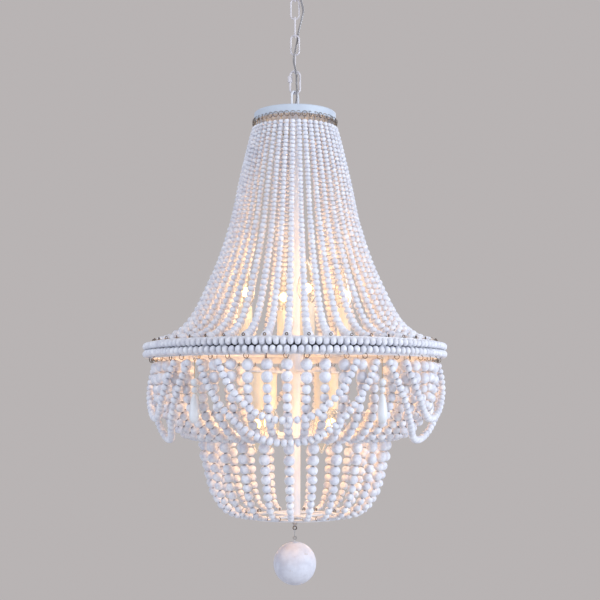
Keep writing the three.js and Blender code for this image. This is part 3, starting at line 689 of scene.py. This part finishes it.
def threadedRing(name, major, thickness, place, turn, tilt=(0, 0)):
    deselectAll()
    bpy.ops.mesh.primitive_torus_add(
        major_radius=major * mm, minor_radius=thickness / 2 * mm, major_segments=18, minor_segments=6)
    ring = bpy.context.object
    ring.name = name
    tipPiece(ring, (0, math.pi / 2, 0))
    return settle(ring, place, turn, tilt)


# Wire loops carry the strings at the plate's edge, on and under the band,
# under the middle ring and at the bottom plate.
loops = {
    "plate": {"layer": veil, "radius": 69.6, "z": -305.9, "major": 4.2, "wire": 0.85, "swing": 55},
    "veil": {"layer": veil, "radius": 232.4, "z": -673.3, "major": 1.9, "wire": 1.4, "swing": 60},
    "band": {"layer": skirt, "radius": 236.6, "z": -704.6, "major": 3.8, "wire": 1.0, "swing": 85,
             "aside": 7},
    "middle": {"layer": basket, "radius": 144.7, "z": -834.6, "major": 3.2, "wire": 1.0, "swing": 60},
    "foot": {"layer": basket, "radius": 82.2, "z": -955.4, "major": 3.0, "wire": 1.0, "swing": 70},
}
for name, row in loops.items():
    rings = []
    layer = row["layer"]
    for i in range(layer["count"]):
        degrees = layer["turn"] + 360 / layer["count"] * i
        turn = math.radians(degrees + 90 + random.uniform(-row["swing"], row["swing"]))
        radius = row["radius"]
        if i % (skirt["count"] // skirt["groups"]) == 5:
            radius -= row.get("aside", 0)  # leaves the teardrop beside it room to swing
        rings.append(threadedRing("loop", row["major"], row["wire"], around(radius, degrees, row["z"]), turn))
    keep(joinPieces(f"loops_{name}", rings), f"loops_{name}", "fixture", darkBronze)
print("loops bent")

# Teardrops: measures go down from the staple's bar
tear = {
    "radius": 237.05, "z": -707.7, "first": 33.2, "bead": 12.5, "beadZ": -35.4, "small": 10, "smallZ": -46.65,
    "eye": 2.0, "eyeWire": 1.1, "eyeZ": -0.9, "wire": 1.2, "wireTop": -2.8, "wireFoot": -52.5,
}
tearOutline = [(0, -51.6), (0.9, -51.7), (2.6, -52.9), (4.3, -56.5), (5.6, -62), (6.7, -69), (7.6, -76),
               (8, -82), (7.7, -87), (6.6, -91.2), (4.7, -94.3), (2.4, -95.9), (0, -96.35)]
for n in range(swags["sectors"]):
    degrees = tear["first"] + 360 / swags["sectors"] * n
    hub = around(tear["radius"], degrees, tear["z"])
    body = turnPiece("tearBody", tearOutline, 24)
    parts = [body]
    for size, z in ((tear["bead"], tear["beadZ"]), (tear["small"], tear["smallZ"])):
        place = (Vector((0, 0, z * mm)), Vector((0, 0, 1)), size * mm, size * mm)
        parts.append(threadBeads("tearBead", [place], largeBead))
    piece = joinPieces(f"teardrop_beads_{n + 1}", parts)
    settle(piece, hub, math.radians(degrees))
    keep(piece, f"teardrop_beads_{n + 1}", f"teardrop_{n + 1}", dropWood,
         [f"teardrop_{n + 1}"])
    eye = threadedRing("tearEye", tear["eye"], tear["eyeWire"], (0, 0, tear["eyeZ"] * mm), 0)
    stemEnds = [Vector((0, 0, tear[end] * mm)) for end in ("wireTop", "wireFoot")]
    stemWire = wirePiece("tearWire", stemEnds, tear["wire"])
    wire = joinPieces(f"teardrop_wire_{n + 1}", [eye, stemWire])
    settle(wire, hub, math.radians(degrees))
    keep(wire, f"teardrop_wire_{n + 1}", f"teardrop_{n + 1}", agedBrass)
print("teardrops hung")

# Chain, quick link, body loop
chain = {"tops": (-61.35, -92.45, -123.55, -154.65, -185.75), "width": 14.0, "drop": 34.2, "wire": 2.8}
for i, z in enumerate(chain["tops"]):
    link = ovalLink("link", chain["width"], chain["drop"], chain["wire"])
    settle(link, (0, 0, z * mm), math.pi / 2 if i % 2 == 0 else 0)
    keep(link, f"link_{i + 1}_wire", f"link_{i + 1}", chainPaint, [f"chain_link_{i + 1}"])
quick = {"top": -216.5, "width": 16.5, "drop": 38.5, "wire": 3.5, "nutTop": -225.05}
link = ovalLink("quick", quick["width"], quick["drop"], quick["wire"], 44, 16)
settle(link, (0, 0, quick["top"] * mm))
keep(link, "quick_link_wire", "quick_link", chainPaint, ["quick_link"])
nutOutline = [(2.05, -11), (3.5, -11), (4, -10.4), (4, -0.6), (3.5, 0), (2.05, 0), (2.05, -11)]
nut = turnPiece("nut", nutOutline, 6)
settle(nut, (-quick["width"] / 2 * mm, 0, quick["nutTop"] * mm))
keep(nut, "sleeve_nut_body", "sleeve_nut", chainPaint, ["quick_link_sleeve"], 25)

bodyLoop = {"top": -251.35, "half": 9.4, "drop": 34.6, "sunk": 1, "wire": 3.2, "turn": 55, "steps": 24}
bendFoot = -bodyLoop["drop"] - bodyLoop["sunk"]
bend = [Vector((-bodyLoop["half"], 0, bendFoot))]
for step in range(bodyLoop["steps"] + 1):
    angle = math.pi - math.pi * step / bodyLoop["steps"]
    bend.append(Vector((bodyLoop["half"] * math.cos(angle), 0, bodyLoop["half"] * (math.sin(angle) - 1))))
bend.append(Vector((bodyLoop["half"], 0, bendFoot)))
hairpin = wirePiece("hairpin", [point * mm for point in bend], bodyLoop["wire"], roundness=4)
flangeOutline = [(2.3, -34.6), (11, -34.6), (12, -35.3), (12, -37.4), (11.4, -38.1), (5, -38.1), (5, -53.1),
                 (2.3, -53.1), (2.3, -34.6)]
flange = turnPiece("flange", flangeOutline, 40)
loop = joinPieces("fixture_loop_body", [hairpin, flange])
settle(loop, (0, 0, bodyLoop["top"] * mm), math.radians(bodyLoop["turn"]))
keep(loop, "fixture_loop_body", "fixture", chalkPaint, ["fixture_loop"])
print("chain linked")

# The cable's route is the CAD model's. It is cut in the middle of each link.
route = [
    (0, 0, -3), (0, 0, -28), (0, 0, -40), (4.5, 0, -50), (5.5, -3, -59), (7.5, -6.3, -67), (8.7, -6.5, -80),
    (10, -5, -94), (13.8, -3, -111.7), (12, -2, -124), (6.1, 0, -148.3), (4.4, 4.5, -160), (3.4, 3.2, -166),
    (2.2, -0.5, -172), (1.2, -5.5, -178.5), (0.3, -9.5, -185.5), (-1.6, -11, -195), (-2, -11, -204),
    (0.5, -10.4, -215), (2.4, -8.4, -224), (2.6, -4.6, -231.5), (2.6, -1.4, -240), (3.2, -4.4, -249),
    (3.4, -4.4, -258), (2.6, -2.2, -268), (0.6, -0.4, -277), (0, 0, -284), (0, 0, -300),
]
cable = {
    "thickness": 3.4, "pivots": (-61.35, -92.45, -123.55, -154.65, -185.75, -216.5, -251.35),
    "cuts": (0, -76.9, -108, -139.1, -170.2, -201.1, -233.9, -310), "reach": 9,
    "bodies": ("ceiling_mount", "link_1", "link_2", "link_3", "link_4", "link_5", "quick_link", "fixture"),
}
cablePath = smoothPath([Vector(point) * mm for point in route], 10)
for i, pivot in enumerate(cable["pivots"]):
    upper, lower = cable["cuts"][i] * mm, cable["cuts"][i + 1] * mm
    inside = [n for n, point in enumerate(cablePath) if lower <= point.z <= upper]
    stretch = cablePath[max(inside[0] - 1, 0):inside[-1] + 2]
    piece = wirePiece(f"cable_{i + 1}", stretch, cable["thickness"], roundness=3)
    piece.data.materials.append(clearCable)
    deselectAll()
    piece.select_set(True)
    bpy.context.view_layer.objects.active = piece
    bpy.ops.object.shade_smooth_by_angle(angle=math.radians(60))
    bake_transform(piece)
    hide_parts("power_cable")
print("cable laid")

# Turned pieces of the frame: ceiling fitting, plate, column, finial and ball
ball = {"radius": 34.8, "z": -1034.45, "firstAngle": 10, "lastAngle": 180, "step": 5}
ballArc = []
for angle in range(ball["firstAngle"], ball["lastAngle"], ball["step"]):
    turn = math.radians(angle)
    ballArc.append((ball["radius"] * math.sin(turn), ball["z"] + ball["radius"] * math.cos(turn)))
turnedParts = [
    ("top_plate_body", "top_plate", "fixture", plateShadedPaint, "painted_metal", 96,
     [(5.3, -291.25), (65.9, -291.25), (67.1, -292.4), (67.1, -304.0), (67.4, -304.55), (68.2, -304.55),
      (68.6, -304.0), (68.6, -291.2), (67.2, -289.75), (5.3, -289.75), (5.3, -291.25)]),
    ("column_body", "centre_column", "fixture", chalkPaint, "painted_metal", 40,
     [(5.3, -291.6), (9, -291.6), (9, -960.2), (5.3, -960.2), (5.3, -291.6)]),
    ("canopy_dome", "canopy", "canopy_cover", chalkPaint, "painted_metal", 72,
     [(13.8, -25), (19, -25), (29.5, -24.2), (39.5, -21.6), (48, -17.7), (54.5, -12.5), (58.6, -6.5), (60, 0),
      (58.8, 0), (57.4, -6.2), (53.5, -11.8), (47.2, -16.8), (39, -20.5), (29.3, -23), (19, -23.8),
      (13.8, -23.8), (13.8, -25)]),
    ("canopy_collar_body", "canopy_collar", "canopy_cover", chalkPaint, "painted_metal", 60,
     [(13.8, -33.3), (19, -33.3), (20, -32.3), (20, -26.3), (19, -25.3), (13.8, -25.3), (13.8, -33.3)]),
    ("finial_body", "finial_eye", "fixture", dullSteel, "aged_brass", 36,
     [(0, -974.55), (1.4, -974.5), (2, -973.9), (3.4, -971.2), (6, -967.9), (9.6, -965.4), (11, -964.2),
      (11, -961), (10.4, -960.55), (5, -960.55), (5, -946.55), (0, -946.55)]),
    ("ball_body", "ball", "ball", turnedWood, "turned_wood", 72,
     [(0, -999.6), (1.4, -999.65), (2.6, -1000.2), *ballArc, (0, -1069.25)]),
]
for name, node, body, material, slotName, steps, outline in turnedParts:
    keep(turnPiece(name, outline, steps), name, body, material, [node], 35)

# Wire hook between the finial's ring and the ball's eye
hook = {
    "wire": 1.5, "ring": 3, "ringZ": -977.6, "width": 5.5, "drop": 14.1, "top": -978.75, "eye": 2.6,
    "eyeZ": -993.65, "stem": 1.6, "stemTop": -995.8, "stemFoot": -1001,
}
eye = threadedRing("finial_ring", hook["ring"], hook["wire"], (0, 0, hook["ringZ"] * mm), math.pi / 2)
keep(eye, "finial_ring", "fixture", darkBronze)
hookWire = ovalLink("ball_hook_wire", hook["width"], hook["drop"], hook["wire"])
settle(hookWire, (0, 0, hook["top"] * mm), math.pi / 2)
keep(hookWire, "ball_hook_wire", "ball_hook", dullSteel, ["ball_hook"])
ballEye = threadedRing("ballEye", hook["eye"], hook["wire"], (0, 0, hook["eyeZ"] * mm), math.pi / 2)
stemEnds = [Vector((0, 0, hook[end] * mm)) for end in ("stemTop", "stemFoot")]
ballStem = wirePiece("ballStem", stemEnds, hook["stem"])
keep(joinPieces("ball_eye", [ballEye, ballStem]), "ball_eye", "ball", dullSteel)
print("frame parts turned")

# Candle sleeves and bulbs, drawn standing up and turned over for the lower tier
lamps = {"upper": (84, 13.7, -676.2, 0), "lower": (75, 34.7, -725.05, math.pi)}
lampSet = {"count": 4, "sleeve": 60, "light": 23.5}
lampLight = {"power": 0.4, "colour": (1.0, 0.5, 0.15), "size": 9, "smooth": 0.007, "strength": 1}
sleeveOutline = [(0, 0), (10.8, 0), (11.5, 0.7), (11.5, 57.5), (11.1, 59.2), (10, 60), (7.9, 60), (7.3, 59.4),
                 (7.3, 32), (0, 32)]
glassOutline = [(6.7, 0.4), (7.6, 0.4), (9.4, 2.5), (12.2, 7), (14.4, 12.5), (15.7, 18.5), (16, 24),
                (15.4, 31), (13.9, 38), (11.7, 45), (9, 52), (6.1, 58.5), (3.5, 64), (1.8, 67.8), (0.9, 69.6),
                (0, 70.3), (0, 69.2), (0.9, 67), (2.7, 63.4), (5.2, 58), (8.1, 51.5), (10.8, 44.6),
                (13, 37.7), (14.5, 30.8), (15.1, 24), (14.8, 18.8), (13.5, 13), (11.4, 7.6), (8.7, 3.2),
                (6.7, 1.2), (6.7, 0.4)]
stemOutline = [(0, 0.2), (5, 0.2), (3.6, 3), (2.2, 8), (1.6, 13), (0, 14)]
filament = {
    "low": 16, "high": 31, "out": 1.6, "tipShare": 0.7, "foot": 45, "tip": 60, "wire": 1.1, "sticks": 4,
}
baseOutline = [(0, -26), (4.2, -26), (6.3, -24.6), (6.9, -22.8), (6.4, -21.6), (6.9, -20.4), (6.4, -19.2),
               (6.9, -18), (6.4, -16.8), (6.9, -15.6), (6.4, -14.4), (6.9, -13.2), (6.4, -12), (6.9, -10.8),
               (6.9, 0.2), (0, 0.2)]
for tier, (radius, turn, z, over) in lamps.items():
    for q in range(lampSet["count"]):
        degrees = turn + 360 / lampSet["count"] * q
        upward = 1 if over == 0 else -1
        bulb = f"bulb_{tier}_{q + 1}"
        seat = around(radius, degrees, z)
        top = around(radius, degrees, z + upward * lampSet["sleeve"])
        sleeve = settle(turnPiece("sleeve", sleeveOutline, 28), seat, 0, (over, 0))
        keep(sleeve, f"sleeve_{tier}_{q + 1}", "fixture", candleCream,
             [f"candle_sleeve_{tier}_{q + 1}"])
        glass = settle(turnPiece("glass", glassOutline, 28), top, 0, (over, 0))
        keep(glass, f"bulb_glass_{tier}_{q + 1}", bulb, bulbGlass, [bulb])
        glass.visible_shadow = False
        sticks = []
        for n in range(filament["sticks"]):
            step = 360 / filament["sticks"] * n
            foot = around(filament["out"], filament["foot"] + step, filament["low"])
            tip = around(filament["out"] * filament["tipShare"], filament["tip"] + step, filament["high"])
            sticks.append(wirePiece("stick", [foot, tip], filament["wire"]))
        lit = settle(joinPieces("lit", sticks), top, 0, (over, 0))
        keep(lit, f"filament_{tier}_{q + 1}", bulb, filamentGlow)
        stem = settle(turnPiece("stem", stemOutline, 20), top, 0, (over, 0))
        keep(stem, f"bulb_stem_{tier}_{q + 1}", bulb, bulbGlass)
        stem.visible_shadow = False
        bpy.ops.object.light_add(type="POINT", location=top + Vector((0, 0, upward * lampSet["light"] * mm)))
        glow = bpy.context.object
        glow.data.energy = lampLight["power"]
        glow.data.color = lampLight["colour"]
        glow.data.shadow_soft_size = lampLight["size"] * mm
        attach(glow, bulb)
        # the usual falloff, softened close to the bulb
        glow.data.use_nodes = True
        tree = glow.data.node_tree
        falloff = tree.nodes.new("ShaderNodeLightFalloff")
        falloff.inputs["Strength"].default_value = lampLight["strength"]
        falloff.inputs["Smooth"].default_value = lampLight["smooth"]
        tree.links.new(falloff.outputs["Quadratic"], tree.nodes["Emission"].inputs["Strength"])
        base = settle(turnPiece("base", baseOutline, 24), top, 0, (over, 0))
        keep(base, f"bulb_base_{tier}_{q + 1}", bulb, agedBrass)
print("lamps lit")

# CAD nodes that stay get their finish.
for node, material in (
    ("mounting_strap", chalkPaint), ("canopy_loop", chalkPaint), ("main_ring", bandPaintAndShade),
    ("middle_ring", chalkPaint), ("bottom_plate", chalkPaint), ("upper_light_bracket", chalkPaint),
    ("lower_light_bracket", chalkPaint),
):
    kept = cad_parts[node]
    kept.data.materials.clear()
    kept.data.materials.append(material)
print("frame finished")

# Floor and soft light
room = {
    "floorZ": -2.1, "floorRadius": 2.4, "floorColour": (0.62, 0.6, 0.58), "floorRough": 0.9,
    "wall": (0.482, 0.455, 0.456), "strength": 1.0, "aim": (0, 0, -0.65),
}
deselectAll()
bpy.ops.mesh.primitive_circle_add(vertices=96, radius=room["floorRadius"], fill_type="NGON",
                                  location=(0, 0, room["floorZ"]))
floor = bpy.context.object
floor.name = "floor"
floorPaint = bpy.data.materials.new("floorPaint")
floorPaint.use_nodes = True
floorShader = floorPaint.node_tree.nodes["Principled BSDF"]
floorShader.inputs["Base Color"].default_value = (*room["floorColour"], 1)
floorShader.inputs["Roughness"].default_value = room["floorRough"]
floor.data.materials.append(floorPaint)

world = bpy.data.worlds.new("room")
bpy.context.scene.world = world
world.use_nodes = True
world.node_tree.nodes["Background"].inputs["Color"].default_value = (*room["wall"], 1)
world.node_tree.nodes["Background"].inputs["Strength"].default_value = room["strength"]
for name, place, size, power, colour in (
    ("high", (-1.1, -1.7, 1.1), 0.9, 17, (0.92, 0.95, 1.0)),
    ("right", (2.3, -1.3, -0.4), 1.4, 58, (0.84, 0.9, 1.0)),
    ("left", (-2.2, -1.5, -0.6), 1.6, 19, (0.7, 0.8, 1.0)),
    ("below", (0.0, -1.6, -1.9), 1.2, 4, (0.85, 0.9, 1.0)),
    ("back", (0.9, 2.4, 0.3), 1.6, 12, (0.85, 0.9, 1.0)),
):
    bpy.ops.object.light_add(type="AREA", location=place)
    light = bpy.context.object
    light.name = name
    light.data.size = size
    light.data.energy = power
    light.data.color = colour
    light.rotation_euler = (Vector(room["aim"]) - Vector(place)).to_track_quat("-Z", "Y").to_euler()
print("room lit")
